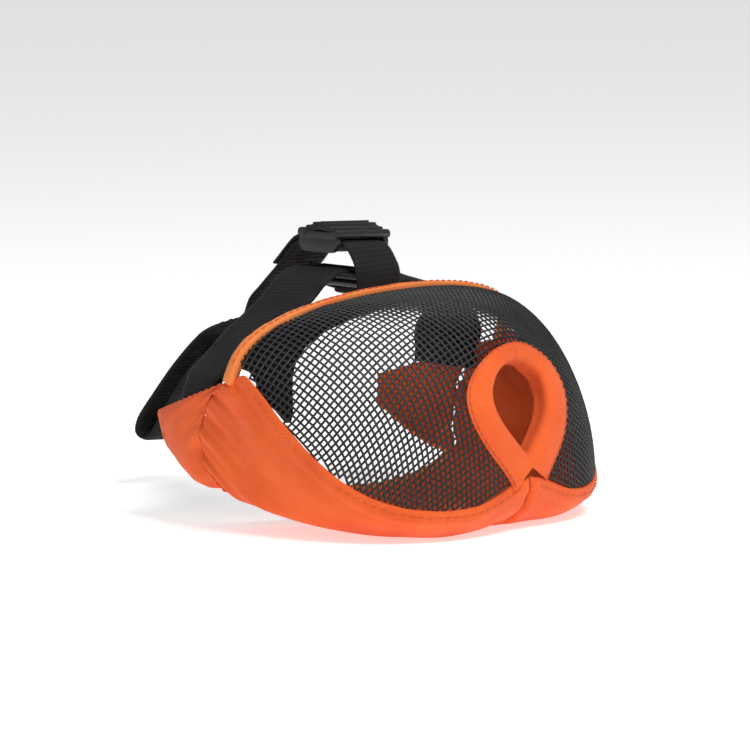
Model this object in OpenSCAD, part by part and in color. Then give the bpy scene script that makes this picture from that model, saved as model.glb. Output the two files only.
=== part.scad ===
// Short-nose mesh muzzle: an open mesh dome over a fabric chin cup, with a bound
// breathing hole, webbing straps, a strap slider and a side-release buckle.
// Nose towards -Y, top of the head towards +Z, the wearer's left towards +X.

/* [Muzzle cup] */
// Width across the two rim corners
cup_w = 128; // [105:1:155]
// Distance from the rim corners forward to the nose
cup_depth = 61; // [50:1:74]
// Height of the rim corners above the chin
corner_z = 52; // [43:1:63]
// Rise of the rim arch above its corners
rim_rise = 17.6; // [14:0.2:22]
// How far the middle of the rim leans forward of the corners
rim_fwd = 6.3; // [4:0.1:8]
// Lowest height of the seam between the mesh and the chin fabric
seam_z = 10; // [8:0.5:13]
// Thickness of the mesh and of the fabric shell
skin_t = 1.2; // [1:0.1:1.6]

/* [Chin and tabs] */
// Half width of the rear chin edge
chin_half_w = 50; // [42:1:56]
// Height of the rear chin edge at the middle
chin_z = 8.3; // [6:0.1:10]
// How far the strap tabs reach behind the rim corners
tab_len = 42; // [35:1:51]
// Height of the end of each strap tab
tab_end_h = 9; // [8:0.5:12]

/* [Breathing hole] */
// Half width of the hole cut in the mesh, at its widest
cut_half_w = 21; // [17:0.5:25]
// Width of the fabric binding round the hole
hole_band_w = 7.8; // [6.6:0.2:9.4]

/* [Binding and webbing] */
// Width of the tape folded over the rim
binding_w = 3.4; // [3:0.1:4]
// Thickness of the bound rim
binding_t = 3.6; // [3.2:0.1:4.2]
// Width of the strap webbing
strap_w = 20; // [17:0.5:24]
// Thickness of the strap webbing
strap_t = 1.6; // [1.4:0.1:2]
// Depth of the reinforcing webbing below the rim binding
rim_web_h = 11; // [9:0.5:13]

/* [Hardware] */
// Room on each side of the webbing inside the slider and the buckle
strap_gap = 0.4; // [0.3:0.05:0.5]
// Room between the two halves of the buckle
buckle_gap = 0.35; // [0.3:0.05:0.5]
// Wall thickness of the plastic parts
wall = 1.8; // [1.6:0.1:2.2]
// Length of the slider along the strap
slider_len = 15; // [13:0.5:18]
// Length of each buckle prong
prong_len = 18; // [15:0.2:22]

/* [Hidden] */

fabric = [1, 0.42, 0.12];
black = [0.08, 0.08, 0.09];
half_w = cup_w / 2;
rim_power = 2.2;
front_power = 2.6;
roof_reach = 50;
face_rise = 39;
seam_peak = 7;
skin_axis = [0, -32, 32];
edge_a = 0.8;
cut_top = 0.52;
cols = 40;
rows = 14;
web_under = skin_t + 0.6;

// Small vector helpers
function unit(v) = v / norm(v);
function mix(a, b, t) = a + (b - a) * t;
function bez(p, t) = pow(1 - t, 3) * p[0] + 3 * pow(1 - t, 2) * t * p[1]
    + 3 * (1 - t) * t * t * p[2] + pow(t, 3) * p[3];
function flip(p) = [-p[0], p[1], p[2]];
function fan(x, power) = pow(max(1 - pow(abs(x) / half_w, power), 0), 1 / power);

// Direction in which every sewn layer gets its thickness
function out_dir(p) = unit([0.75 * p[0], min(p[1] - skin_axis[1], 0), p[2] - skin_axis[2]]);

// Rim arch, mesh seam and rear chin edge, each at an angle a from 0 (right) to 180 (left)
function across(a) = -half_w * cos(a);
function rim_pt(a) = let (f = fan(across(a), rim_power))
    [across(a), -rim_fwd * f, corner_z + rim_rise * f];
function seam_pt(a) = [across(a), -cup_depth * fan(across(a), front_power),
    seam_z + (corner_z - seam_z - 1) * pow(1 - sin(a), 2.45)
        + seam_peak * exp(-pow(across(a) / 16, 2))];
function chin_pt(a) = [-chin_half_w * cos(a), -3 + 14 * pow(cos(a), 2),
    chin_z + 4 * pow(abs(cos(a)), 1.5)];

// Mesh dome from the rim (t = 0) to the seam (t = 1)
function dome_pt(a, t) = let (p = rim_pt(a), q = seam_pt(a), s = sin(a))
    bez([p, p + [0, -roof_reach * pow(s, 2.3), 1.4 * s],
        q + [0, s, face_rise * pow(s, 0.7)], q], t);

// Chin cup from the seam (t = 0) under the chin to its rear edge (t = 1)
function chin_side(a, t) = let (p = seam_pt(a), r = chin_pt(a), q = pow(1 - sin(a), 2),
        h = 1 - sin(a),
        low = p + [3 * q, 34 * q - sin(a), mix(-2.8 - p[2], -9, h)],
        back = r + [-10 * abs(cos(a)), mix(-25, 3, q), mix(-2.2 - r[2], -4, h)])
    bez([p, low, back, r], t);
function chin_cup(a, t) = a <= 90 ? chin_side(a, t) : flip(chin_side(180 - a, t));

// Right-hand strap tab, from the rear edge of the chin panel (s = 0) to its end (s = 1)
tab_top = [12 - half_w, tab_len, corner_z - 18];
tab_low = tab_top + [2, -1, -tab_end_h];
function tab_pt(s, t) = mix(chin_cup(edge_a, t), mix(tab_top, tab_low, t), s)
    + sin(180 * s) * [-2 - t, 0, -4 * t];

// Outline of the hole in the mesh: k from 0 (foot) to 180 (crown)
function hole_x(k, half_width, foot) = foot * (1 - sin(k / 2))
    + half_width / 0.77 * sin(k) * sin(k / 2);
function hole_t(k, top, foot_t) = mix(foot_t, top, (1 - cos(k)) / 2);
function angle_at(x) = acos(-x / half_w);
function hole_pt(k, half_width, foot, top, foot_t) =
    dome_pt(angle_at(hole_x(k, half_width, foot)), hole_t(k, top, foot_t));
function cut_pt(k) = hole_pt(k, cut_half_w, 9, cut_top, 1);
function mouth_pt(k) = hole_pt(k, cut_half_w - hole_band_w, 0, cut_top + 0.07, 0.95);

// A closed layer between two offsets of a grid of surface points
module layer(grid, outer, inner) {
    n = len(grid);
    m = len(grid[0]);
    shell = concat([for (row = grid, p = row) p + outer * out_dir(p)],
        [for (row = grid, p = row) p + inner * out_dir(p)]);
    top = [for (i = [0:n - 2], j = [0:m - 2], h = [0, 1]) h == 0
        ? [i * m + j, i * m + j + 1, (i + 1) * m + j + 1]
        : [i * m + j, (i + 1) * m + j + 1, (i + 1) * m + j]];
    base = [for (f = top) [f[2] + n * m, f[1] + n * m, f[0] + n * m]];
    rim = concat([for (j = [0:m - 2]) j], [for (i = [0:n - 2]) i * m + m - 1],
        [for (j = [m - 1:-1:1]) (n - 1) * m + j], [for (i = [n - 1:-1:1]) i * m]);
    side = [for (e = [0:len(rim) - 1], h = [0, 1]) let (a = rim[e], b = rim[(e + 1) % len(rim)])
        h == 0 ? [b, a, a + n * m] : [b, a + n * m, b + n * m]];
    polyhedron(points = shell, faces = concat(top, base, side), convexity = 8);
}

// A flat strap swept along a smooth route; each stop is [point, width direction]
function catmull(p, i, t) = let (a = p[max(i - 1, 0)], b = p[i], c = p[i + 1],
        d = p[min(i + 2, len(p) - 1)])
    0.5 * (2 * b + (c - a) * t + (2 * a - 5 * b + 4 * c - d) * t * t
        + (3 * b - 3 * c + d - a) * t * t * t);
function route(stops, steps) = let (p = [for (s = stops) s[0]], w = [for (s = stops) s[1]])
    concat([for (i = [0:len(p) - 2], k = [0:steps - 1])
            [catmull(p, i, k / steps), mix(w[i], w[i + 1], k / steps)]],
        [[p[len(p) - 1], w[len(w) - 1]]]);
function ring(path, i, w, t) = let (last = len(path) - 1,
        along = unit(path[min(i + 1, last)][0] - path[max(i - 1, 0)][0]),
        wide = unit(path[i][1] - along * (path[i][1] * along)),
        up = cross(along, wide))
    [for (c = [[-1, -1], [1, -1], [1, 1], [-1, 1]])
        path[i][0] + wide * c[0] * w / 2 + up * c[1] * t / 2];
module strap(path, w, t) {
    n = len(path);
    points = [for (i = [0:n - 1], p = ring(path, i, w, t)) p];
    walls = [for (i = [0:n - 2], k = [0:3], h = [0, 1]) let (a = 4 * i + k, b = 4 * i + (k + 1) % 4)
        h == 0 ? [a, b, b + 4] : [a, b + 4, a + 4]];
    polyhedron(points = points,
        faces = concat([[3, 2, 1, 0]], walls, [[for (k = [0:3]) 4 * (n - 1) + k]]), convexity = 8);
}

// Straps: stops along each centre line
rim_top = [0, -rim_fwd, corner_z + rim_rise];
slider_at = rim_top + [0, 18.3, 13.2];
buckle_at = rim_top + [14, 18.5, -1.3];
buckle_pitch = 16;
plug_travel = 6;
plug_wall = 3;
plug_end = -plug_wall - plug_travel - 0.5;
socket_len = prong_len + 6;
tab_w = [-0.22, -0.9, 0.36];
flat_w = [0, -1, 0];
slider_roll = 4.5;
level_w = [cos(slider_roll), 0, -sin(slider_roll)];
tab_edge = mix(seam_pt(0), tab_top, 0.43) + [-1, 0, -0.4];
tab_edge_left = flip(tab_edge);
function on_buckle(x) = buckle_at + x * [cos(buckle_pitch), 0, -sin(buckle_pitch)];
neck_right_stops = [[tab_edge, tab_w], [tab_edge + [2.4, 0, 4.6], tab_w],
    [tab_edge + [8, -4, 10.5], [-0.1, -1, 0.15]], [tab_edge + [16, -6, 15.6], flat_w],
    [tab_edge + [23.8, -6.8, 19.9], flat_w], [on_buckle(-43) + [0, -1, -12], flat_w],
    [on_buckle(-34) + [0, 0, -4.6], flat_w], [on_buckle(-25), flat_w], [on_buckle(plug_end), flat_w]];
neck_left_stops = [[on_buckle(socket_len + 1.4), flat_w], [on_buckle(socket_len + 7.5), flat_w],
    [tab_edge_left + [-7.8, -4, 13.2], flat_w], [tab_edge_left + [-2.2, -1.5, 7.7], [0.1, -1, 0.15]],
    [tab_edge_left + [0.2, 0.6, 3.8], flip(tab_w)], [tab_edge_left, flip(tab_w)]];
root_stops = [for (p = [[0, 4.3, -3.1], [0, 4.6, 4]]) [rim_top + p, [1, 0, 0]]];
loop_stops = [for (p = [[0, -12.2, -5], [0, -9.4, -1.2], [0, -6, 0], [0, 6, 0], [0, 11, -1.3],
        [0, 17.2, -7.9], [0, 24.5, -15.2], [0, 29, -19.8], [0, 31.8, -25.8], [0, 36, -31.3],
        [0, 44, -36.3], [0, 52.5, -42.8], [0, 61, -53.3], [0, 67.8, -63], [0, 71, -66.4],
        [0, 73.9, -66.6], [0, 75.5, -64.4], [0, 74.1, -60.2], [0, 69.4, -54.1], [0, 60.5, -43.5],
        [0, 51.8, -34.8], [0, 45.8, -30.6], [0, 35.6, -27.2]]) [slider_at + p, level_w]];
head_path = route(concat(root_stops, loop_stops), 4);

// The whole part stands on its chin, centred front to back
chin_low = min([for (i = [0:cols], j = [0:rows]) chin_cup(mix(edge_a, 90, i / cols), j / rows)[2]]);
front_y = min([for (k = [0:10:180], p = [cut_pt(k), mouth_pt(k)]) (p + 0.6 * out_dir(p))[1]]);
back_y = max([for (s = head_path) s[0][1]]) + strap_t / 2;
module stand() translate([0, -(front_y + back_y) / 2, -chin_low]) children();

module mesh_half(side) {
    a0 = side < 0 ? edge_a : 180 - edge_a;
    above = [for (j = [0:5]) [for (i = [0:cols / 2])
        dome_pt(mix(a0, 90, i / (cols / 2)), cut_top * j / 5)]];
    below = [for (j = [1:rows]) let (k = 180 - 180 * j / rows, t = hole_t(k, cut_top, 1),
            x = side * hole_x(k, cut_half_w, 9))
        [for (i = [0:cols / 2]) dome_pt(mix(a0, angle_at(x), i / (cols / 2)), t)]];
    grid = concat(above, below);
    layer(side < 0 ? grid : [for (row = grid) [for (i = [len(row) - 1:-1:0]) row[i]]], 0, -skin_t);
}

module mesh_dome() {
    color(black) stand() union() {
        mesh_half(-1);
        mesh_half(1);
    }
}

// Square-edged tape that stands on the edge of the mesh all along the arch
module rim_binding() {
    n = 56;
    path = [for (i = [0:n]) rim_pt(mix(edge_a, 180 - edge_a, i / n))];
    rings = [for (i = [0:n]) let (p = path[i], along = unit(path[min(i + 1, n)] - path[max(i - 1, 0)]),
            o = unit(out_dir(p) - along * (out_dir(p) * along)), e = cross(o, along))
        [p + 0.9 * o, p + (0.9 - binding_t) * o, p + (0.9 - binding_t) * o + binding_w * e,
            p + 0.9 * o + binding_w * e]];
    walls = [for (i = [0:n - 1], k = [0:3], h = [0, 1]) let (a = 4 * i + k, b = 4 * i + (k + 1) % 4)
        h == 0 ? [a, b + 4, b] : [a, a + 4, b + 4]];
    color(fabric) stand() polyhedron(points = [for (r = rings, p = r) p],
        faces = concat([[0, 1, 2, 3]], walls, [[for (k = [3:-1:0]) 4 * n + k]]), convexity = 8);
}

// Black tape sewn behind the mesh, just below the rim binding
function web_t(a) = let (long = norm(dome_pt(a, 0.25) - rim_pt(a)) / 0.25)
    min(rim_web_h * (1 + 0.2 * abs(cos(a))) / long, 0.97);
module rim_webbing() {
    a0 = 3;
    grid = [for (j = [0:4]) [for (i = [0:cols])
        let (a = mix(a0, 180 - a0, i / cols)) dome_pt(a, mix(0.004, web_t(a), j / 4))]];
    color(black) stand() layer(grid, -web_under, -web_under - 1.2);
}

module chin_half() {
    grid = [for (j = [0:rows]) [for (i = [0:cols / 2])
        chin_cup(mix(edge_a, 90, i / (cols / 2)), j / rows)]];
    layer(grid, 0, -skin_t);
}
module chin_panel_right() {
    color(fabric) stand() chin_half();
}
module chin_panel_left() {
    color(fabric) stand() mirror([1, 0, 0]) chin_half();
}

// Folded hem that finishes the rear edge under the chin
module chin_hem() {
    n = 40;
    path = [for (i = [0:n]) let (p = chin_cup(mix(edge_a, 180 - edge_a, i / n), 1),
        o = out_dir(p)) [p - o * (skin_t + 0.9), o]];
    color(fabric) stand() strap(path, 1.7, 2.4);
}

// One side of the band round the breathing hole, from the foot to the crown
module hole_band() {
    grid = [for (j = [0:2]) [for (i = [0:18]) let (k = 180 * i / 18)
        mix(cut_pt(k), mouth_pt(k), j / 2)]];
    layer([for (row = grid) [for (i = [18:-1:0]) flip(row[i])]], 0.6, -skin_t - 0.4);
}
module hole_binding_left() {
    color(fabric) stand() mirror([1, 0, 0]) hole_band();
}
module hole_binding_right() {
    color(fabric) stand() hole_band();
}

module strap_tab() {
    grid = [for (j = [0:rows]) [for (i = [8:-1:0]) tab_pt(i / 8, j / rows)]];
    layer(grid, 0, -skin_t);
}
module strap_tab_right() {
    color(fabric) stand() strap_tab();
}
module strap_tab_left() {
    color(fabric) stand() mirror([1, 0, 0]) strap_tab();
}

module neck_strap_right() {
    color(black) stand() strap(route(neck_right_stops, 5), strap_w, strap_t);
}
module neck_strap_left() {
    color(black) stand() strap(route(neck_left_stops, 5), strap_w, strap_t);
}
module head_strap() {
    color(black) stand() strap(head_path, strap_w, strap_t);
}

// Hardware, each piece about the webbing that runs through it
run_w = strap_w + 2 * strap_gap;
run_half = strap_t / 2 + strap_gap;
rail_x = run_w / 2 + wall / 2;
arch_rise = 3;
bar_r = 1.4;
arch_r = (pow(slider_len / 2, 2) + pow(arch_rise, 2)) / (2 * arch_rise);
prong_half = strap_w / 2 + 0.2;
prong_w = 3;
prong_h = 3.8;
cave_w = 2 * (prong_half + buckle_gap);
cave_h = prong_h + 2 * buckle_gap;
socket_w = cave_w + 2 * wall;
socket_h = cave_h + 2 * wall;
plug_len = 17;
pivot_x = -1;
root_r = 0.8;
root_gap = 0.05;

module on_slider() stand() translate(slider_at) rotate([0, slider_roll, 0]) children();
module on_buckle_axis() stand() translate(buckle_at) rotate([0, buckle_pitch, 0]) children();

// A flat bar with round ends, long along Y, standing on edge
module rail(long, high) {
    rotate([0, 90, 0]) linear_extrude(wall, center = true) union() {
        square([high, long - high], center = true);
        for (s = [-1, 1]) translate([0, s * (long - high) / 2]) circle(d = high, $fn = 32);
    }
}

// Webbing slider: two rails, a ribbed arch over the webbing and a bar under it
module strap_slider() {
    arch_mid = run_half + bar_r + arch_rise - arch_r;
    color(black) on_slider() union() {
        for (s = [-1, 1]) translate([s * rail_x, 0, 0]) rail(slider_len, 6.2);
        rotate([90, 0, 90]) linear_extrude(run_w + wall, center = true) difference() {
            translate([0, arch_mid]) circle(r = arch_r, $fn = 96);
            translate([0, arch_mid]) circle(r = arch_r - 2, $fn = 96);
            translate([-50, run_half + bar_r - 100]) square(100);
        }
        for (k = [-30:15:30]) translate([0, 0, arch_mid]) rotate([k, 0, 0]) translate([0, 0, arch_r])
            rotate([0, 90, 0]) cylinder(h = run_w + 1, r = 0.6, center = true, $fn = 24);
        for (s = [-1, 1]) translate([0, s * (slider_len / 2 - 1), run_half + bar_r])
            rotate([0, 90, 0]) cylinder(h = run_w + 2 * wall + 0.6, r = bar_r, center = true, $fn = 32);
        translate([0, 0, -run_half - wall / 2]) cube([run_w + wall, 4, wall], center = true);
    }
}

// Rounded tube section, long along X
module pill(long, wide, high, r) {
    rotate([90, 0, 90]) linear_extrude(long) union() {
        square([wide, high - 2 * r], center = true);
        square([wide - 2 * r, high], center = true);
        for (s = [-1, 1], t = [-1, 1]) translate([s * (wide / 2 - r), t * (high / 2 - r)])
            circle(r = r, $fn = 32);
    }
}

// Socket: a shell open at the plug's side and on both edges, with a bar for the webbing
module buckle_socket() {
    color(black) on_buckle_axis() union() {
        difference() {
            translate([0.6, 0, 0]) pill(socket_len, socket_w, socket_h, 2);
            pill(prong_len + 2, cave_w, cave_h, 0.8);
            translate([7, -socket_w, -cave_h / 2]) cube([prong_len - 6, 2 * socket_w, cave_h]);
        }
        for (s = [-1, 1]) translate([socket_len, s * rail_x - wall / 2, -socket_h / 2 + 1])
            cube([6.6, wall, socket_h - 2]);
        translate([socket_len + 5.4, 0, -run_half - 1.3])
            rotate([90, 0, 0]) cylinder(h = run_w + wall, r = 1.3, center = true, $fn = 32);
    }
}

// Room in the plug's wall for the root of a prong
module root_pocket(s) {
    translate([pivot_x, s * (prong_half - prong_w / 2), -cave_h / 2]) union() {
        cylinder(h = cave_h, r = root_r + root_gap, $fn = 24);
        translate([0.3, -1.3, 0]) cube([2, 2.6, cave_h]);
    }
}

// Plug: a ladder frame on the webbing, a wall that holds the prongs and a guide tongue
module buckle_plug() {
    color(black) on_buckle_axis() union() {
        difference() {
            translate([-plug_wall, 0, 0]) pill(plug_wall, socket_w, socket_h, 1.4);
            for (s = [-1, 1]) root_pocket(s);
        }
        for (s = [-1, 1]) translate([-plug_len, s * rail_x - wall / 2, -run_half - wall])
            cube([plug_len - 1, wall, 2 * run_half + 2 * wall]);
        translate([-plug_len + 1.4, 0, -run_half - 1.1])
            rotate([90, 0, 0]) cylinder(h = run_w + wall, r = 1.1, center = true, $fn = 32);
        translate([-plug_len + 5.6, 0, run_half + 1.1])
            rotate([90, 0, 0]) cylinder(h = run_w + wall, r = 1.1, center = true, $fn = 32);
        translate([-1, -1.5, -prong_h / 2]) cube([prong_len, 3, prong_h]);
    }
}

// Spring prong that flexes about its root: s = -1 front, 1 rear
module prong(s) {
    y = s * (prong_half - prong_w / 2);
    color(black) on_buckle_axis() translate([pivot_x, y, -prong_h / 2]) union() {
        cylinder(h = prong_h, r = root_r, $fn = 24);
        translate([0, -0.8, 0]) cube([prong_len - 5, 1.6, prong_h]);
        translate([prong_len - 7, -prong_w / 2, 0]) cube([4.5, prong_w, prong_h]);
        translate([prong_len - 2.5, 0, 0]) cylinder(h = prong_h, r = prong_w / 2, $fn = 32);
    }
}
module buckle_prong_front() prong(-1);
module buckle_prong_rear() prong(1);

mesh_dome();
rim_binding();
rim_webbing();
chin_panel_right();
chin_panel_left();
chin_hem();
hole_binding_right();
hole_binding_left();
strap_tab_right();
strap_tab_left();
neck_strap_right();
neck_strap_left();
head_strap();
strap_slider();
buckle_socket();
buckle_plug();
buckle_prong_front();
buckle_prong_rear();
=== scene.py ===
import math

import bmesh
import bpy
from mathutils import Matrix, Vector


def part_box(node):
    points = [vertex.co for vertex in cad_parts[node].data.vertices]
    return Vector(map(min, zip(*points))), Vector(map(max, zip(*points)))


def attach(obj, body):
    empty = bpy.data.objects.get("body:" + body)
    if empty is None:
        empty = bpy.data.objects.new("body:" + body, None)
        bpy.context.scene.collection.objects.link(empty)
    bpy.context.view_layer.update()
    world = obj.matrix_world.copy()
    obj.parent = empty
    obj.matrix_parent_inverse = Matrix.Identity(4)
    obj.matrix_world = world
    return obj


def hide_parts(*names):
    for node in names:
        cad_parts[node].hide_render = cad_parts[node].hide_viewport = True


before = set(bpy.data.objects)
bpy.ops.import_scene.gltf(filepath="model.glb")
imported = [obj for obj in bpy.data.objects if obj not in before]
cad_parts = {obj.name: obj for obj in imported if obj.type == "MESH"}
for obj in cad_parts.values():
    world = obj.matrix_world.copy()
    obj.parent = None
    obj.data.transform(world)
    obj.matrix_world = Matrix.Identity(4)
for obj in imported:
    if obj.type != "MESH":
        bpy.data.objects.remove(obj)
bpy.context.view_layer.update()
scene = bpy.context.scene
print("frame loaded:", len(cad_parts), "parts")

# Cup sizes in millimetres, in the same terms as the sewn pattern
cup = {"halfWidth": 64, "depth": 61, "cornerZ": 52, "rimRise": 17.6, "rimForward": 6.3, "seamZ": 10,
       "seamPeak": 7, "roofReach": 50, "faceRise": 39, "rimPower": 2.2, "frontPower": 2.6,
       "chinHalfWidth": 50, "chinZ": 8.3, "tabLength": 42, "tabEndHeight": 9, "edgeAngle": 0.8,
       "cutTop": 0.52, "cutHalfWidth": 21, "holeBand": 7.8, "strapWidth": 20, "strapThick": 1.6}
sliderHome = Vector((0, 12, 82.8))  # slider before the cup is centred on its box


def sinDeg(a):
    return math.sin(math.radians(a))


def cosDeg(a):
    return math.cos(math.radians(a))


def mix(a, b, t):
    return a + (b - a) * t


def smooth(low, high, x):
    t = min(max((x - low) / (high - low), 0), 1)
    return t * t * (3 - 2 * t)


def bezier(p, t):
    return (1 - t) ** 3 * p[0] + 3 * (1 - t) ** 2 * t * p[1] + 3 * (1 - t) * t * t * p[2] + t ** 3 * p[3]


def fan(x, power):
    return max(1 - (abs(x) / cup["halfWidth"]) ** power, 0) ** (1 / power)


def outward(p):  # the side on which each sewn layer shows
    return Vector((0.75 * p.x, min(p.y + 32, 0), p.z - 32)).normalized()


def across(a):  # a runs from 0 at the right corner to 180 at the left one
    return -cup["halfWidth"] * cosDeg(a)


def rimPoint(a):
    f = fan(across(a), cup["rimPower"])
    return Vector((across(a), -cup["rimForward"] * f, cup["cornerZ"] + cup["rimRise"] * f))


def seamPoint(a):
    x = across(a)
    rise = (cup["cornerZ"] - cup["seamZ"] - 1) * max(1 - sinDeg(a), 0) ** 2.45
    peak = cup["seamPeak"] * math.exp(-(x / 16) ** 2)
    return Vector((x, -cup["depth"] * fan(x, cup["frontPower"]), cup["seamZ"] + rise + peak))


def chinEdge(a):
    c = cosDeg(a)
    return Vector((-cup["chinHalfWidth"] * c, -3 + 14 * c * c, cup["chinZ"] + 4 * abs(c) ** 1.5))


def domePoint(a, t):
    p, q, s = rimPoint(a), seamPoint(a), max(sinDeg(a), 0)
    roof = p + Vector((0, -cup["roofReach"] * s ** 2.3, 1.4 * s))
    face = q + Vector((0, s, cup["faceRise"] * s ** 0.7))
    return bezier([p, roof, face, q], t)


def chinPoint(a, t):
    if a > 90:
        p = chinPoint(180 - a, t)
        return Vector((-p.x, p.y, p.z))
    p, r, h, c = seamPoint(a), chinEdge(a), 1 - sinDeg(a), abs(cosDeg(a))
    q = h * h
    low = p + Vector((3 * q, 34 * q - sinDeg(a), mix(-2.8 - p.z, -9, h)))
    back = r + Vector((-10 * c, mix(-25, 3, q), mix(-2.2 - r.z, -4, h)))
    return bezier([p, low, back, r], t)


tabTop = Vector((12 - cup["halfWidth"], cup["tabLength"], cup["cornerZ"] - 18))
tabLow = tabTop + Vector((2, -1, -cup["tabEndHeight"]))


def tabPoint(s, t):  # s from the chin panel to the tab's end, t from its top edge down
    straight = mix(chinPoint(cup["edgeAngle"], t), mix(tabTop, tabLow, t), s)
    return straight + sinDeg(180 * s) * Vector((-2 - t, 0, -4 * t))


def holeX(k, halfWidth, foot):
    return foot * (1 - sinDeg(k / 2)) + halfWidth / 0.77 * sinDeg(k) * sinDeg(k / 2)


def angleAt(x):
    return math.degrees(math.acos(min(max(-x / cup["halfWidth"], -1), 1)))


def holePoint(k, halfWidth, foot, top, footT):
    return domePoint(angleAt(holeX(k, halfWidth, foot)), mix(footT, top, (1 - cosDeg(k)) / 2))


def mirrored(p):
    return Vector((-p.x, p.y, p.z))


chinLow = min(chinPoint(mix(cup["edgeAngle"], 90, i / 40), j / 14).z for i in range(41) for j in range(15))
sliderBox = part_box("strap_slider")
shiftY = (sliderBox[0].y + sliderBox[1].y) * 500 - sliderHome.y


def place(p):  # pattern millimetres to the row frame
    return Vector((p.x, p.y + shiftY, p.z - chinLow)) * 0.001


# Camera and light
view = {"azimuth": 310, "elevation": 8, "distance": 3.0, "lens": 475.2, "target": (0, -0.01386, 0.04195)}


def backFrom(azimuth, elevation):
    return Vector((sinDeg(azimuth) * cosDeg(elevation), -cosDeg(azimuth) * cosDeg(elevation), sinDeg(elevation)))


def addCamera():
    data = bpy.data.cameras.new("camera")
    camera = bpy.data.objects.new("camera", data)
    scene.collection.objects.link(camera)
    back = backFrom(view["azimuth"], view["elevation"])
    camera.location = Vector(view["target"]) + back * view["distance"]
    camera.rotation_mode = "QUATERNION"
    camera.rotation_quaternion = (-back).to_track_quat("-Z", "Y")
    data.lens = view["lens"]
    data.clip_end = 60
    scene.camera = camera


lamps = {"key": {"azimuth": 345, "elevation": 52, "distance": 0.9, "size": 0.3, "power": 5.4},
         "fill": {"azimuth": 262, "elevation": 30, "distance": 1.1, "size": 0.7, "power": 0.8},
         "top": {"azimuth": 120, "elevation": 70, "distance": 0.9, "size": 0.5, "power": 1.7}}


def addLamp(name, spec):
    data = bpy.data.lights.new(name, "AREA")
    data.size = spec["size"]
    data.energy = spec["power"]
    lamp = bpy.data.objects.new(name, data)
    scene.collection.objects.link(lamp)
    back = backFrom(spec["azimuth"], spec["elevation"])
    lamp.location = Vector((0, 0, 0.04)) + back * spec["distance"]
    lamp.rotation_mode = "QUATERNION"
    lamp.rotation_quaternion = (-back).to_track_quat("-Z", "Y")


addCamera()
for lampName, lampSpec in lamps.items():
    addLamp(lampName, lampSpec)
world = bpy.data.worlds.new("studio")
world.use_nodes = True
world.node_tree.nodes["Background"].inputs["Color"].default_value = (1, 1, 1, 1)
world.node_tree.nodes["Background"].inputs["Strength"].default_value = 0.22
scene.world = world
scene.view_settings.view_transform = "Standard"
print("camera and light set")


# Shared shader groups
def groupStart(name, inputs, outputs):
    group = bpy.data.node_groups.new(name, "ShaderNodeTree")
    for socketName, kind, value in inputs:
        socket = group.interface.new_socket(socketName, in_out="INPUT", socket_type=kind)
        if value is not None:
            socket.default_value = value
    for socketName, kind in outputs:
        group.interface.new_socket(socketName, in_out="OUTPUT", socket_type=kind)
    return group, group.nodes.new("NodeGroupInput"), group.nodes.new("NodeGroupOutput")


def mathNode(tree, operation, first, second=None):
    node = tree.nodes.new("ShaderNodeMath")
    node.operation = operation
    for index, value in enumerate((first, second)):
        if value is None:
            continue
        if isinstance(value, (int, float)):
            node.inputs[index].default_value = value
        else:
            tree.links.new(value, node.inputs[index])
    return node.outputs[0]


def plainWeave():  # crossing yarns: height, and a painted shade that darkens the colour in the gaps between them
    group, ins, outs = groupStart("plainWeave",
                                  [("Vector", "NodeSocketVector", None), ("Yarn", "NodeSocketFloat", 2500)],
                                  [("Height", "NodeSocketFloat"), ("Shade", "NodeSocketFloat")])
    split = group.nodes.new("ShaderNodeSeparateXYZ")
    group.links.new(ins.outputs["Vector"], split.inputs[0])
    waves = []
    for axis in ("X", "Y"):
        turns = mathNode(group, "MULTIPLY", split.outputs[axis], ins.outputs["Yarn"])
        waves.append(mathNode(group, "SINE", mathNode(group, "MULTIPLY", turns, math.pi)))
    cross = mathNode(group, "MULTIPLY", waves[0], waves[1])
    height = mathNode(group, "ADD", mathNode(group, "MULTIPLY", cross, 0.5), 0.5)
    group.links.new(height, outs.inputs["Height"])
    # Shade is painted shade: darker where the weave is low, between the yarns
    group.links.new(mathNode(group, "ADD", mathNode(group, "MULTIPLY", height, 0.3), 0.7), outs.inputs["Shade"])
    return group


def patchyTone():  # slow cloudy change, for dye and wear
    group, ins, outs = groupStart("patchyTone",
                                  [("Vector", "NodeSocketVector", None), ("Scale", "NodeSocketFloat", 40),
                                   ("Low", "NodeSocketFloat", 0), ("High", "NodeSocketFloat", 1)],
                                  [("Value", "NodeSocketFloat")])
    noise = group.nodes.new("ShaderNodeTexNoise")
    noise.inputs["Detail"].default_value = 4
    group.links.new(ins.outputs["Vector"], noise.inputs["Vector"])
    group.links.new(ins.outputs["Scale"], noise.inputs["Scale"])
    spread = group.nodes.new("ShaderNodeMapRange")
    spread.inputs["From Min"].default_value = 0.3
    spread.inputs["From Max"].default_value = 0.7
    group.links.new(noise.outputs["Fac"], spread.inputs["Value"])
    group.links.new(ins.outputs["Low"], spread.inputs["To Min"])
    group.links.new(ins.outputs["High"], spread.inputs["To Max"])
    group.links.new(spread.outputs["Result"], outs.inputs["Value"])
    return group


weaveGroup = plainWeave()
toneGroup = patchyTone()


def groupNode(tree, group, vector, **values):
    node = tree.nodes.new("ShaderNodeGroup")
    node.node_tree = group
    tree.links.new(vector, node.inputs["Vector"])
    for key, value in values.items():
        node.inputs[key].default_value = value
    return node


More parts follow.
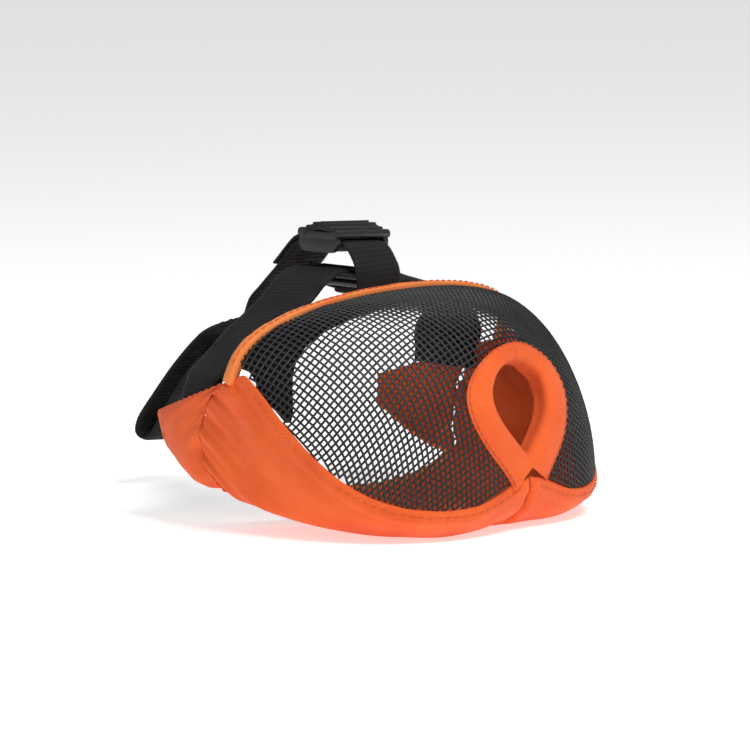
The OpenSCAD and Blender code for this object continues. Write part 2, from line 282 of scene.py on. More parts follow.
def mixColor(tree, factor, first, second, blend="MIX"):
    node = tree.nodes.new("ShaderNodeMix")
    node.data_type = "RGBA"
    node.blend_type = blend
    for socket, value in ((node.inputs[0], factor), (node.inputs[6], first), (node.inputs[7], second)):
        if isinstance(value, bpy.types.NodeSocket):
            tree.links.new(value, socket)
        elif isinstance(value, tuple):
            socket.default_value = (*value, 1)
        else:
            socket.default_value = value
    return node.outputs[2]


def addBump(tree, shader, height, strength, distance):
    bump = tree.nodes.new("ShaderNodeBump")
    bump.inputs["Strength"].default_value = strength
    bump.inputs["Distance"].default_value = distance
    tree.links.new(height, bump.inputs["Height"])
    tree.links.new(bump.outputs["Normal"], shader.inputs["Normal"])


def startMaterial(name):
    material = bpy.data.materials.new(name)
    material.use_nodes = True
    tree = material.node_tree
    return material, tree, tree.nodes["Principled BSDF"], tree.nodes.new("ShaderNodeTexCoord")


def clothMaterial(name, light, dark, yarn, depth, sheen, gloss=0.3):
    material, tree, shader, coords = startMaterial(name)
    weave = groupNode(tree, weaveGroup, coords.outputs["UV"], Yarn=yarn)
    tone = groupNode(tree, toneGroup, coords.outputs["Object"], Scale=55, Low=0, High=1)
    rough = groupNode(tree, toneGroup, coords.outputs["Object"], Scale=160, Low=0.62, High=0.86)
    fuzz = groupNode(tree, toneGroup, coords.outputs["Object"], Scale=1800, Low=0, High=1)
    base = mixColor(tree, tone.outputs["Value"], light, dark)
    # the base colour is multiplied by the weave's painted shade, so it is darker between the yarns
    shade = mixColor(tree, 0.55, base, mixColor(tree, weave.outputs["Shade"], (0, 0, 0), (1, 1, 1)), "MULTIPLY")
    tree.links.new(shade, shader.inputs["Base Color"])
    tree.links.new(rough.outputs["Value"], shader.inputs["Roughness"])
    height = mathNode(tree, "ADD", weave.outputs["Height"], mathNode(tree, "MULTIPLY", fuzz.outputs["Value"], 0.6))
    addBump(tree, shader, height, 0.5, depth)
    shader.inputs["Specular IOR Level"].default_value = gloss
    shader.inputs["Sheen Weight"].default_value = sheen
    shader.inputs["Sheen Roughness"].default_value = 0.5
    return material


def plasticMaterial(name, color, low, high, grain):
    material, tree, shader, coords = startMaterial(name)
    tone = groupNode(tree, toneGroup, coords.outputs["Object"], Scale=120, Low=0, High=1)
    rough = groupNode(tree, toneGroup, coords.outputs["Object"], Scale=500, Low=low, High=high)
    fine = groupNode(tree, toneGroup, coords.outputs["Object"], Scale=2600, Low=0, High=1)
    paler = tuple(min(c * 1.5 + 0.004, 1) for c in color)
    tree.links.new(mixColor(tree, tone.outputs["Value"], color, paler), shader.inputs["Base Color"])
    tree.links.new(rough.outputs["Value"], shader.inputs["Roughness"])
    addBump(tree, shader, fine.outputs["Value"], 0.35, grain)
    return material


orangeFabric = clothMaterial("orangeFabric", (0.93, 0.145, 0.022), (0.80, 0.10, 0.016), 2400, 0.00012, 0.08)
bindingTape = clothMaterial("bindingTape", (0.97, 0.30, 0.07), (0.92, 0.22, 0.05), 3000, 0.0001, 0.08)
orangeThread = clothMaterial("orangeThread", (0.86, 0.15, 0.03), (0.70, 0.10, 0.02), 6000, 0.00005, 0.1)
blackWebbing = clothMaterial("blackWebbing", (0.016, 0.016, 0.018), (0.009, 0.009, 0.01), 1500, 0.0001, 0.02, 0.22)
blackThread = clothMaterial("blackThread", (0.03, 0.03, 0.032), (0.02, 0.02, 0.02), 6000, 0.00005, 0.1)
netYarn = plasticMaterial("netYarn", (0.010, 0.010, 0.011), 0.38, 0.55, 0.00003)
mouldedPlastic = plasticMaterial("mouldedPlastic", (0.012, 0.012, 0.013), 0.3, 0.46, 0.00003)
print("materials made")


# Mesh helpers
def deselect():
    bpy.ops.object.select_all(action="DESELECT")


def takeUp(piece):
    deselect()
    piece.select_set(True)
    bpy.context.view_layer.objects.active = piece


def finishWith(piece, kind, **settings):
    takeUp(piece)
    modifier = piece.modifiers.new(kind.title(), kind)
    for key, value in settings.items():
        setattr(modifier, key, value)
    bpy.ops.object.modifier_apply(modifier=modifier.name)


def dress(piece, material, body, nodes):
    if material is not None:
        piece.data.materials.clear()
        piece.data.materials.append(material)
    takeUp(piece)
    bpy.ops.object.shade_smooth()
    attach(piece, body)
    if nodes:
        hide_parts(*nodes)
    return piece


def runLengths(points):
    total = [0.0]
    for p, q in zip(points, points[1:]):
        total.append(total[-1] + (q - p).length)
    return total


def gridPiece(name, rows):  # rows of points in metres; the UV map holds real distances
    high, wide = len(rows), len(rows[0])
    deselect()
    bpy.ops.mesh.primitive_grid_add(x_subdivisions=wide - 1, y_subdivisions=high - 1, size=1)
    piece = bpy.context.object
    piece.name = name
    piece.data.name = name
    for j, row in enumerate(rows):
        for i, p in enumerate(row):
            piece.data.vertices[j * wide + i].co = p
    u = runLengths(rows[high // 2])
    v = runLengths([row[wide // 2] for row in rows])
    layer = piece.data.uv_layers[0].data
    for loop in piece.data.loops:
        j, i = divmod(loop.vertex_index, wide)
        layer[loop.index].uv = (u[i], v[j])
    piece.data.update()
    middle = piece.data.polygons[len(piece.data.polygons) // 2]
    centre = middle.center * 1000
    out = outward(Vector((centre.x, centre.y - shiftY, centre.z + chinLow)))
    if middle.normal.dot(out) < 0:
        takeUp(piece)
        bpy.ops.object.mode_set(mode="EDIT")
        bpy.ops.mesh.select_all(action="SELECT")
        bpy.ops.mesh.flip_normals()
        bpy.ops.object.mode_set(mode="OBJECT")
    return piece


def tubePiece(name, rings, closed=False):  # rings of points in metres round a line
    count, sides = len(rings), len(rings[0])
    mesh = bpy.data.meshes.new(name)
    points = [p for ring in rings for p in ring]
    faces = []
    for r in range(count if closed else count - 1):
        for k in range(sides):
            a, b = r * sides + k, r * sides + (k + 1) % sides
            c, d = ((r + 1) % count) * sides + (k + 1) % sides, ((r + 1) % count) * sides + k
            faces.append((a, b, c, d))
    if not closed:
        faces.append(tuple(reversed(range(sides))))
        faces.append(tuple((count - 1) * sides + k for k in range(sides)))
    mesh.from_pydata(points, [], faces)
    uv = mesh.uv_layers.new(name="UVMap").data
    along = runLengths([ring[0] for ring in rings])
    around = runLengths(rings[count // 2] + [rings[count // 2][0]])
    for face in mesh.polygons:
        corners = [mesh.loops[l].vertex_index for l in face.loop_indices]
        wraps = any(v % sides == 0 for v in corners) and any(v % sides == sides - 1 for v in corners)
        for l, v in zip(face.loop_indices, corners):
            r, k = divmod(v, sides)
            uv[l].uv = (along[r], around[sides] if wraps and k == 0 and len(corners) == 4 else around[k])
    piece = bpy.data.objects.new(name, mesh)
    scene.collection.objects.link(piece)
    takeUp(piece)
    bpy.ops.object.mode_set(mode="EDIT")
    bpy.ops.mesh.select_all(action="SELECT")
    bpy.ops.mesh.normals_make_consistent(inside=False)
    bpy.ops.object.mode_set(mode="OBJECT")
    return piece


def evenly(points, step, extra=None):  # points spaced evenly along a line, with values carried along
    lengths = runLengths(points)
    count = max(int(lengths[-1] / step), 2)
    found, index = [], 0
    for n in range(count + 1):
        want = lengths[-1] * n / count
        while index < len(points) - 2 and lengths[index + 1] < want:
            index += 1
        t = (want - lengths[index]) / max(lengths[index + 1] - lengths[index], 1e-9)
        p = mix(points[index], points[index + 1], t)
        found.append(p if extra is None else (p, mix(extra[index], extra[index + 1], t)))
    return found


stitch = {"pitch": 2.9, "length": 2.1, "radius": 0.24, "sides": 6,
          "stations": (-0.5, -0.44, -0.22, 0, 0.22, 0.44, 0.5)}


def stitchRow(name, points, normals, body, material, pitch=None):
    # points and normals in metres along the seam; each stitch is a small flattened bead of thread
    line = evenly(points, (pitch or stitch["pitch"]) * 0.001, normals)
    mesh = bmesh.new()
    for n in range(len(line) - 1):
        start, end = line[n][0], line[n + 1][0]
        normal = (line[n][1] + line[n + 1][1]).normalized()
        along = (end - start).normalized()
        side = along.cross(normal).normalized()
        middle, rings = (start + end) / 2, []
        for s in stitch["stations"]:
            thick = stitch["radius"] * 0.001 * math.sqrt(max(1 - (2 * s) ** 4, 0.02))
            centre = middle + along * s * stitch["length"] * 0.001 + normal * 0.00012 * (1 - 5 * s * s)
            ring = []
            for k in range(stitch["sides"]):
                turn = 2 * math.pi * k / stitch["sides"]
                spot = centre + side * math.cos(turn) * thick
                ring.append(mesh.verts.new(spot + normal * math.sin(turn) * thick * 0.8))
            rings.append(ring)
        for low, high in zip(rings, rings[1:]):
            for k in range(stitch["sides"]):
                j = (k + 1) % stitch["sides"]
                mesh.faces.new((low[k], high[k], high[j], low[j]))
        mesh.faces.new(rings[0])
        mesh.faces.new(list(reversed(rings[-1])))
    data = bpy.data.meshes.new(name)
    bmesh.ops.recalc_face_normals(mesh, faces=mesh.faces)
    mesh.to_mesh(data)
    mesh.free()
    data.uv_layers.new(name="UVMap")
    piece = bpy.data.objects.new(name, data)
    scene.collection.objects.link(piece)
    return dress(piece, material, body, ())


def ripple(x, y, seed=0.0):  # smooth uneven folds, the same each run
    return (math.sin(x * 1.0 + 1.7 * math.sin(y * 0.6 + seed) + seed)
            + 0.55 * math.sin(x * 2.3 + y * 0.9 + 2.1 * seed)
            + 0.3 * math.sin(x * 4.1 - y * 1.7 + 0.7 * seed)) / 1.6


# Net of coated yarn, cut to the dome and pulled even in both directions
net = {"pitch": 2.0, "yarn": 0.72, "lift": -0.55, "columns": 240, "steps": 90, "under": 0.012, "tuck": 60}


def netRows():
    columns = []
    for c in range(net["columns"] + 1):
        a = mix(cup["edgeAngle"], 180 - cup["edgeAngle"], c / net["columns"])
        ts = [mix(-0.03, 1 + net["under"], k / net["steps"]) for k in range(net["steps"] + 1)]
        points = [domePoint(a, t) for t in ts]
        columns.append((a, ts, runLengths(points)))
    rows = []
    longest = max(c[2][-1] for c in columns)
    for j in range(int(longest / net["pitch"]) + 1):
        want, line = j * net["pitch"], []
        for a, ts, lengths in columns:
            if lengths[-1] < want:
                continue
            k = next((n for n in range(1, len(ts)) if lengths[n] >= want), len(ts) - 1)
            part = (want - lengths[k - 1]) / max(lengths[k] - lengths[k - 1], 1e-9)
            line.append((a, mix(ts[k - 1], ts[k], part)))
        rows.append(line)
    return rows


def insideCut(a, t):
    if t < cup["cutTop"]:
        return False
    k = math.degrees(math.acos(min(max(1 - 2 * (1 - min(t, 1)) / (1 - cup["cutTop"]), -1), 1)))
    return abs(across(a)) < holeX(k, cup["cutHalfWidth"] - 3.5, 5)


def makeNet():
    nodes = {}
    for j, line in enumerate(netRows()):
        points = [domePoint(a, t) for a, t in line]
        lengths = runLengths(points)
        centre = min(range(len(line)), key=lambda n: abs(line[n][0] - 90))
        if abs(line[centre][0] - 90) > 2:
            continue
        zero = lengths[centre]
        for i in range(-80, 81):
            want = zero + i * net["pitch"]
            if not lengths[0] <= want <= lengths[-1]:
                continue
            k = next(n for n in range(1, len(lengths)) if lengths[n] >= want)
            part = (want - lengths[k - 1]) / max(lengths[k] - lengths[k - 1], 1e-9)
            a, t = mix(line[k - 1][0], line[k][0], part), mix(line[k - 1][1], line[k][1], part)
            if not insideCut(a, t):
                p = domePoint(a, t)
                nodes[(i, j)] = place(p + outward(p) * (net["lift"] - net["tuck"] * max(t - 1, 0)))
    mesh = bmesh.new()
    verts = {key: mesh.verts.new(p) for key, p in nodes.items()}
    for (i, j), v in verts.items():
        corners = [(i, j), (i + 1, j), (i + 1, j + 1), (i, j + 1)]
        if all(c in verts for c in corners):
            mesh.faces.new([verts[c] for c in corners])
    for v in [v for v in mesh.verts if not v.link_faces]:
        mesh.verts.remove(v)
    area = sum(f.calc_area() for f in mesh.faces)
    bmesh.ops.recalc_face_normals(mesh, faces=mesh.faces)
    data = bpy.data.meshes.new("netDome")
    mesh.to_mesh(data)
    mesh.free()
    piece = bpy.data.objects.new("netDome", data)
    scene.collection.objects.link(piece)
    finishWith(piece, "WIREFRAME", thickness=net["yarn"] * 0.001, use_even_offset=True, use_boundary=True)
    print("net made")
    return dress(piece, netYarn, "muzzle", ("mesh_dome",))


netPiece = makeNet()

# Orange fabric chin cup, in two halves joined down the front
chin = {"columns": 76, "rows": 58, "thick": 1.1, "lift": 0.35, "turnedEdge": 5.0, "edgeRise": 0.45,
        "gather": 1.25, "gatherReach": 11.0, "seamDip": 1.1, "waviness": 0.6, "stitchIn": 1.7}


def chinRelief(side, a, t, fromTop, fromRear, x):
    lift = chin["lift"]
    lift += chin["edgeRise"] * (1 - smooth(chin["turnedEdge"] - 0.6, chin["turnedEdge"] + 0.5, fromTop))
    lift -= 0.75 * (1 - smooth(0, 0.9, fromTop))  # the turned edge rolls down to the net
    lift -= 0.2 * math.exp(-((fromTop - chin["stitchIn"]) / 0.5) ** 2)
    lift += 0.16 * ripple(fromRear / 1.9, fromTop / 5, side) * math.exp(-(fromTop / 5) ** 2)
    fade = math.exp(-fromRear / chin["gatherReach"])
    lift += chin["gather"] * fade * ripple(fromTop / 1.55, fromRear / 4, 1.3 + side)
    lift += 1.1 * math.exp(-((fromRear - 5) / 4) ** 2) * math.exp(-((fromTop - 9) / 5) ** 2)
    lift -= chin["seamDip"] * math.exp(-(x / 0.8) ** 2)
    lift += 0.4 * math.exp(-((abs(x) - 2.2) / 1.3) ** 2) * (1 + 0.5 * math.sin(fromTop / 1.3))
    lift += chin["waviness"] * ripple(x / 9 + fromTop / 14, fromTop / 9, 2 * side) * smooth(4, 14, fromTop)
    return lift


def chinRows(side):
    angles = [mix(cup["edgeAngle"], 90, i / chin["columns"]) for i in range(chin["columns"] + 1)]
    columns = []
    for a in angles:
        points = [chinPoint(a, mix(-0.012, 1, j / chin["rows"])) for j in range(chin["rows"] + 1)]
        columns.append((a, points, runLengths(points)))
    rows = []
    for j in range(chin["rows"] + 1):
        line = [c[1][j] for c in columns]
        run, row = runLengths(line), []
        for i, (a, points, lengths) in enumerate(columns):
            p = points[j]
            rise = chinRelief(side, a, j / chin["rows"], lengths[j], run[i], p.x)
            q = p + outward(p) * rise
            row.append(place(q if side < 0 else mirrored(q)))
        rows.append(row if side < 0 else row[::-1])
    return rows


def makeChin(side, name, node):
    piece = gridPiece(name, chinRows(side))
    finishWith(piece, "SOLIDIFY", thickness=chin["thick"] * 0.001, offset=-1, use_even_offset=False)
    finishWith(piece, "SUBSURF", levels=1, render_levels=1)
    return dress(piece, orangeFabric, "muzzle", (node,))


def surfaceLine(side, angles, t, inset, lift):
    points, normals = [], []
    for a in angles:
        first, second = chinPoint(a, t), chinPoint(a, t + 0.02)
        p = first + (second - first).normalized() * inset
        n = outward(p)
        q = p + n * lift
        points.append(place(q if side < 0 else mirrored(q)))
        normals.append(n if side < 0 else mirrored(n))
    return points, normals


def chinStitches(side, label):
    angles = [mix(1.2, 89.5, i / 160) for i in range(161)]
    points, normals = surfaceLine(side, angles, 0, chin["stitchIn"], 0.72)
    stitchRow("chinTopStitch" + label, points, normals, "muzzle", orangeThread)
    points, normals = surfaceLine(side, angles, 0.985, 0, 0.45)
    stitchRow("hemStitch" + label, points, normals, "muzzle", orangeThread)


chinRight = makeChin(-1, "chinRight", "chin_panel_right")
chinLeft = makeChin(1, "chinLeft", "chin_panel_left")
chinStitches(-1, "Right")
chinStitches(1, "Left")
print("chin cup made")

# Rolled hem under the chin
hem = {"rings": 130, "wide": 2.6, "thick": 2.2, "sides": 12}


def makeHem():
    rings = []
    for n in range(hem["rings"] + 1):
        a = mix(cup["edgeAngle"], 180 - cup["edgeAngle"], n / hem["rings"])
        p, before = chinPoint(a, 1), chinPoint(a, 0.97)
        o = outward(p)
        down = (p - before).normalized()
        centre = p - o * (0.9 + 0.12 * ripple(n / 2.2, 1))
        ring = []
        for k in range(hem["sides"]):
            turn = 2 * math.pi * k / hem["sides"]
            q = centre + down * (math.cos(turn) * hem["wide"] / 2) + o * (math.sin(turn) * hem["thick"] / 2)
            ring.append(place(q))
        rings.append(ring)
    piece = tubePiece("chinHem", rings)
    return dress(piece, bindingTape, "muzzle", ("chin_hem",))


makeHem()

# Strap tabs: gathered where they leave the cup, with the webbing sewn into the top edge
tab = {"columns": 56, "rows": 44, "thick": 1.5, "gather": 1.1, "ends": 2.2}


def tabRows(side):
    rows = []
    for j in range(tab["rows"] + 1):
        t, row = j / tab["rows"], []
        for i in range(tab["columns"] + 1):
            s = i / tab["columns"]
            p = tabPoint(s, t)
            down = 38 * t * (1 - 0.7 * s)
            back = 45 * s
            lift = -0.15 + tab["gather"] * math.exp(-back / 8) * ripple(down / 1.7, back / 5, 0.4 + side)
            lift += 1.2 * math.exp(-back / 22) * ripple(down / 4.5, back / 12, 2.2) * smooth(0, 6, back)
            lift -= 0.5 * (1 - smooth(0, 1.6, down))
            lift += 0.3 * smooth(34, 38, back)
            q = p + outward(p) * lift
            row.append(place(q if side < 0 else mirrored(q)))
        rows.append(row)
    return rows


def makeTab(side, name, node):
    piece = gridPiece(name, tabRows(side))
    finishWith(piece, "SOLIDIFY", thickness=tab["thick"] * 0.001, offset=-1, use_even_offset=False)
    finishWith(piece, "SUBSURF", levels=1, render_levels=1)
    return dress(piece, orangeFabric, "muzzle", (node,))


tabRight = makeTab(-1, "tabRight", "strap_tab_right")
tabLeft = makeTab(1, "tabLeft", "strap_tab_left")


def tabStitches(side, label):
    rows = {"End": [(0.86, j / 40) for j in range(3, 38)], "Top": [(i / 60, 0.05) for i in range(6, 58)]}
    for kind, spots in rows.items():
        points, normals = [], []
        for s, t in spots:
            p = tabPoint(s, t)
            q = p + outward(p) * 0.25
            points.append(place(q if side < 0 else mirrored(q)))
            normals.append(outward(p) if side < 0 else mirrored(outward(p)))
        stitchRow("tab" + kind + "Stitch" + label, points, normals, "muzzle", orangeThread)


tabStitches(-1, "Right")
tabStitches(1, "Left")
print("tabs made")

# Tape folded over the rim, profile as (outwards, beyond the edge) in millimetres
rimTape = {"rings": 230, "profile": ((0.55, -0.55), (0.95, -0.2), (1.1, 0.6), (1.05, 1.7), (0.8, 2.6), (0.1, 3.25),
                                     (-0.9, 3.45), (-1.9, 3.2), (-2.6, 2.5), (-2.8, 1.5), (-2.8, 0.4), (-2.5, -0.4),
                                     (-1.0, -0.6)),
           "stitchAt": 0.55, "tail": 6.5}


def rimFrame(a):
    p = rimPoint(a)
    along = (rimPoint(min(a + 0.6, 179.6)) - rimPoint(max(a - 0.6, 0.4))).normalized()
    o = outward(p)
    o = (o - along * o.dot(along)).normalized()
    return p, along, o, o.cross(along)


def makeRimTape():
    rings, stitches, normals = [], [], []
    for n in range(rimTape["rings"] + 1):
        a = mix(cup["edgeAngle"], 180 - cup["edgeAngle"], n / rimTape["rings"])
        p, along, o, e = rimFrame(a)
        ends = 1 - smooth(0, 6, min(n, rimTape["rings"] - n))
        p += along * rimTape["tail"] * ends * (-1 if a < 90 else 1)
        puff = 1 + 0.05 * ripple(n / 3.1, 0.5)
        drop = 0.7 * math.exp(-((a - 97) / 5) ** 2)
        crest = 0.55 * math.exp(-((a - 86) / 6) ** 2) + 0.12 * ripple(n / 5, 2)
        ring = []
        for out, beyond in rimTape["profile"]:
            low = 1 - smooth(-0.6, 1.5, beyond)
            raised = e * (beyond * puff - drop * low + crest * (1 - low))
            ring.append(place(p + o * (out * puff + 0.25 * drop) + raised))
        rings.append(ring)
        stitches.append(place(p + o * 1.12 * puff + e * (rimTape["stitchAt"] - 0.8 * drop)))
        normals.append(o)
    piece = tubePiece("rimTape", rings)
    finishWith(piece, "SUBSURF", levels=1, render_levels=1)
    dress(piece, bindingTape, "muzzle", ("rim_binding",))
    stitchRow("rimStitch", stitches[4:-4], normals[4:-4], "muzzle", orangeThread)


makeRimTape()

# Webbing sewn behind the net under the tape
rimWeb = {"height": 11, "start": 3, "columns": 150, "rows": 14, "thick": 1.1, "under": 1.35}


def makeRimWeb():
    rows = []
    for j in range(rimWeb["rows"] + 1):
        row = []
        for i in range(rimWeb["columns"] + 1):
            a = mix(rimWeb["start"], 180 - rimWeb["start"], i / rimWeb["columns"])
            long = (domePoint(a, 0.25) - rimPoint(a)).length / 0.25
            tall = rimWeb["height"] * (1 + 0.2 * abs(cosDeg(a)))
            t = mix(0.004, min(tall / long, 0.97), j / rimWeb["rows"])
            p = domePoint(a, t)
            row.append(place(p - outward(p) * rimWeb["under"]))
        rows.append(row)
    piece = gridPiece("rimWebbing", rows)
    finishWith(piece, "SOLIDIFY", thickness=rimWeb["thick"] * 0.001, offset=-1, use_even_offset=False)
    return dress(piece, blackWebbing, "muzzle", ("rim_webbing",))


makeRimWeb()
print("rim made")

# Bands round the breathing hole: a folded strip with a full inner edge
band = {"steps": 96, "widths": 22, "thick": 0.9, "fold": 0.74, "puff": 1.15, "turnIn": 6.5, "stitchAt": 0.09}


def bandPoint(side, k, w):
    # w 0 at the outer edge, 1 at the inner end of the turned-in layer
    face = min(w / band["fold"], 1)
    foot = 1 - smooth(0, 26, k)
    cut = holePoint(k, cup["cutHalfWidth"], 9, cup["cutTop"], 1)
    mouth = holePoint(k, cup["cutHalfWidth"] - cup["holeBand"], 0, cup["cutTop"] + 0.07, 0.95)
    p = mix(cut, mouth, face)
    o = outward(p)
    p = p + o * (0.15 + band["puff"] * math.sin(math.pi * min(face, 1)) ** 0.75 * (1 - 0.35 * foot))
    crown = smooth(95, 150, k) * (1 - 0.5 * smooth(165, 180, k))
    p += o * crown * 0.4 * ripple(k / 5.5, face * 1.2, 0.8) * face
    if w > band["fold"]:
        deep = (w - band["fold"]) / (1 - band["fold"])
        away = (mouth - cut).normalized()
        roll = away * 0.9 * math.sin(math.pi * min(deep * 1.6, 1))
        p += roll - o * band["turnIn"] * deep ** 1.15 - away * 1.2 * deep
    if side < 0:
        p = p + o * 0.75 * foot  # this side lies over the other at the foot
    p = p + Vector((-2.4 * foot * face, 0, 0))
    return p if side > 0 else mirrored(p)


def bandNormal(side, k, w):
    face = min(w / band["fold"], 1)
    cut = holePoint(k, cup["cutHalfWidth"], 9, cup["cutTop"], 1)
    mouth = holePoint(k, cup["cutHalfWidth"] - cup["holeBand"], 0, cup["cutTop"] + 0.07, 0.95)
    o = outward(mix(cut, mouth, face))
    return o if side > 0 else mirrored(o)


def makeBand(side, name, node, label):
    rows = [[place(bandPoint(side, 180 * i / band["steps"], j / band["widths"])) for i in range(band["steps"] + 1)]
            for j in range(band["widths"] + 1)]
    piece = gridPiece(name, rows)
    finishWith(piece, "SOLIDIFY", thickness=band["thick"] * 0.001, offset=-1, use_even_offset=False)
    finishWith(piece, "SUBSURF", levels=1, render_levels=1)
    dress(piece, orangeFabric, "muzzle", (node,))
    w = band["stitchAt"]
    ks = [mix(4, 179, n / 120) for n in range(121)]
    points = [place(bandPoint(side, k, w) + bandNormal(side, k, w) * 0.12) for k in ks]
    normals = [bandNormal(side, k, w) for k in ks]
    stitchRow("holeStitch" + label, points, normals, "muzzle", orangeThread, 2.5)
    return piece


bandRight = makeBand(-1, "holeBandRight", "hole_binding_right", "Right")
bandLeft = makeBand(1, "holeBandLeft", "hole_binding_left", "Left")
print("hole bands made")

# Webbing, woven with cross ribs
webbing = {"wide": 20, "thick": 1.6, "ribPitch": 1.55, "ribRise": 0.17, "perRib": 5, "across": 12, "selvedge": 1.2}
rimTop = Vector((0, -cup["rimForward"], cup["cornerZ"] + cup["rimRise"]))
buckleHome = rimTop + Vector((14, 18.5, -1.3))
bucklePitch = 16
sliderRoll = 4.5
levelWide = Vector((cosDeg(sliderRoll), 0, -sinDeg(sliderRoll)))


def catmull(p, i, t):
    a, b, c, d = p[max(i - 1, 0)], p[i], p[i + 1], p[min(i + 2, len(p) - 1)]
    return 0.5 * (2 * b + (c - a) * t + (2 * a - 5 * b + 4 * c - d) * t * t + (3 * b - 3 * c + d - a) * t ** 3)


def strapRoute(stops):
    points, wides = [], []
    for i in range(len(stops) - 1):
        for k in range(16):
            points.append(catmull([s[0] for s in stops], i, k / 16))
            wides.append(mix(stops[i][1], stops[i + 1][1], k / 16))
    return points + [stops[-1][0]], wides + [stops[-1][1]]


def webRing(centre, wide, up, width, thick):
    ring, half = [], webbing["across"]
    for face in (1, -1):
        for k in range(half + 1):
            s = face * mix(-1, 1, k / half)
            past = (abs(s) * width / 2 - (width / 2 - webbing["selvedge"])) / webbing["selvedge"]
            edge = math.sqrt(max(1 - max(past, 0) ** 2, 0.12))
            ring.append(place(centre + wide * s * width / 2 + up * face * thick / 2 * edge))
    return ring


def webTube(name, stops, width=None, thick=None, lift=0, part=(0, 1)):
    points, wides = strapRoute(stops)
    line = evenly(points, webbing["ribPitch"] / webbing["perRib"], wides)
    line = line[int(part[0] * (len(line) - 1)):int(part[1] * (len(line) - 1)) + 1]
    rings = []
    for n, (p, wide) in enumerate(line):
        along = (line[min(n + 1, len(line) - 1)][0] - line[max(n - 1, 0)][0]).normalized()
        wide = (wide - along * wide.dot(along)).normalized()
        up = along.cross(wide)
        rib = abs(math.sin(math.pi * n / webbing["perRib"]))
        depth = (thick or webbing["thick"]) - 0.1 + webbing["ribRise"] * (rib - 0.5) * 2
        rings.append(webRing(p + up * lift, wide, up, width or webbing["wide"], depth))
    return tubePiece(name, rings)


def onBuckle(x):
    return buckleHome + x * Vector((cosDeg(bucklePitch), 0, -sinDeg(bucklePitch)))


tabEdge = mix(seamPoint(0), tabTop, 0.43) + Vector((-1, 0, -0.4))
tabEdgeLeft = mirrored(tabEdge)
tabWide = Vector((-0.22, -0.9, 0.36))
flatWide = Vector((0, -1, 0))
prongLength = 18
plugEnd = -9.5
socketLength = prongLength + 6
neckRightStops = [(tabEdge + Vector((3, 1.5, -5)), tabWide), (tabEdge + Vector((3, 1.2, 0)), tabWide),
                  (tabEdge + Vector((4.4, 1, 4.6)), tabWide),
                  (tabEdge + Vector((8, -4, 10.5)), Vector((-0.1, -1, 0.15))),
                  (tabEdge + Vector((16, -6, 15.6)), flatWide), (tabEdge + Vector((23.8, -6.8, 19.9)), flatWide),
                  (onBuckle(-43) + Vector((0, -1, -12)), flatWide), (onBuckle(-34) + Vector((0, 0, -4.6)), flatWide),
                  (onBuckle(-25), flatWide), (onBuckle(plugEnd), flatWide)]
neckLeftStops = [(onBuckle(socketLength + 1.4), flatWide), (onBuckle(socketLength + 7.5), flatWide),
                 (tabEdgeLeft + Vector((-7.8, -4, 13.2)), flatWide),
                 (tabEdgeLeft + Vector((-3, -1.5, 7.7)), Vector((0.1, -1, 0.15))),
                 (tabEdgeLeft + Vector((-3, 1.4, 3.8)), mirrored(tabWide)),
                 (tabEdgeLeft + Vector((-3, 1.2, 0)), mirrored(tabWide)),
                 (tabEdgeLeft + Vector((-3, 1.5, -5)), mirrored(tabWide))]
# Head strap: from its seam on the rim, through the slider, round the rear fold and back
headShape = [(-12.2, -5), (-9.4, -1.2), (-6, 0), (6, 0), (11, -1.3), (17.2, -7.9), (24.5, -15.2), (29, -19.8),
             (31.8, -25.8), (36, -31.3), (44, -36.3), (52.5, -42.8), (61, -53.3), (67.8, -63), (71, -66.4),
             (73.9, -66.6), (75.5, -64.4), (74.1, -60.2), (69.4, -54.1), (60.5, -43.5), (51.8, -34.8),
             (45.8, -30.6), (35.6, -27.2)]
headStops = [(rimTop + Vector((0, y, z)), Vector((1, 0, 0))) for y, z in ((4.3, -3.1), (4.6, 4))]
headStops += [(sliderHome + Vector((0, y, z)), levelWide) for y, z in headShape]
tailStops = [(sliderHome + Vector((0, y, z)), levelWide)
             for y, z in ((8.6, 1.0), (11.6, 0.2), (17.9, -6.3), (19.2, -7.7))]

for name, stops, nodes in (("neckStrapRight", neckRightStops, ("neck_strap_right",)),
                           ("neckStrapLeft", neckLeftStops, ("neck_strap_left",)),
                           ("headStrap", headStops, ("head_strap",)), ("headStrapTail", tailStops, ())):
    dress(webTube(name, stops), blackWebbing, "muzzle", nodes)
print("straps made")


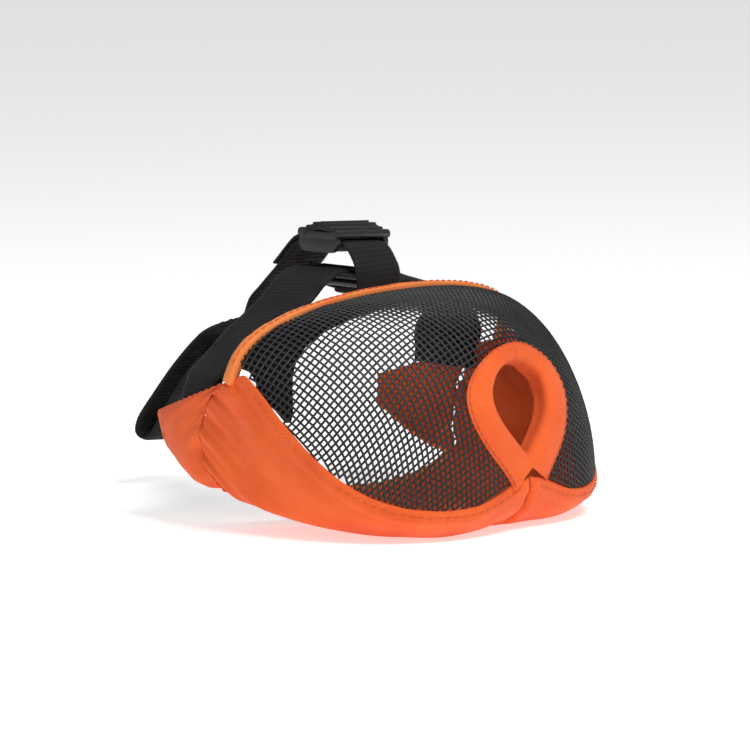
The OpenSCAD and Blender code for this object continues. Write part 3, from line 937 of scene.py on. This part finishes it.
def crossStitch(name, centre, along, wide, up, lengthMm, widthMm):  # a sewn box with a cross
    corners = [centre + along * s * lengthMm / 2 + wide * w * widthMm / 2
               for s, w in ((-1, -1), (1, -1), (1, 1), (-1, 1))]
    path = [corners[0], corners[1], corners[2], corners[3], corners[0], corners[2], corners[1], corners[3]]
    for n, (a, b) in enumerate(zip(path, path[1:])):
        points = [place(mix(a, b, k / 12) + up * 0.95) for k in range(13)]
        stitchRow(name + str(n + 1), points, [up] * 13, "muzzle", blackThread, 2.6)


loopEnd, loopBefore = headStops[-1][0], headStops[-2][0]
loopAlong = (loopEnd - loopBefore).normalized()
crossStitch("loopStitch", loopEnd - loopAlong * 5, loopAlong, levelWide, levelWide.cross(loopAlong) * -1, 7, 15)

# Moulded plastic: the CAD shapes with softened edges
moulded = {"strap_slider": ("sliderShell", "slider", 0.35), "buckle_socket": ("buckleSocket", "muzzle", 0.4),
           "buckle_plug": ("bucklePlug", "plug", 0.35), "buckle_prong_front": ("prongFront", "prong_front", 0.25),
           "buckle_prong_rear": ("prongRear", "prong_rear", 0.25)}


def makeMoulded(node, name, body, round_):
    piece = bpy.data.objects.new(name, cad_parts[node].data.copy())
    scene.collection.objects.link(piece)
    takeUp(piece)
    bpy.ops.object.mode_set(mode="EDIT")
    bpy.ops.mesh.select_all(action="SELECT")
    bpy.ops.mesh.remove_doubles(threshold=0.00001)
    bpy.ops.mesh.dissolve_limited(angle_limit=math.radians(2))
    bpy.ops.object.mode_set(mode="OBJECT")
    finishWith(piece, "BEVEL", width=round_ * 0.001, segments=3, limit_method="ANGLE", angle_limit=math.radians(35),
               harden_normals=False)
    dress(piece, mouldedPlastic, body, (node,))
    takeUp(piece)
    bpy.ops.object.shade_smooth_by_angle(angle=math.radians(40))


for node, (name, body, round_) in moulded.items():
    makeMoulded(node, name, body, round_)
print("plastic pieces made")

# Floor
deselect()
bpy.ops.mesh.primitive_plane_add(size=60, location=(0, 0, -0.0002))
floor = bpy.context.object
floor.name = "floor"
paleFloor, _, floorShader, _ = startMaterial("paleFloor")
floorShader.inputs["Base Color"].default_value = (0.93, 0.93, 0.93, 1)
floorShader.inputs["Roughness"].default_value = 0.85
floorShader.inputs["Emission Color"].default_value = (1, 1, 1, 1)
floorShader.inputs["Emission Strength"].default_value = 0.5
floor.data.materials.append(paleFloor)
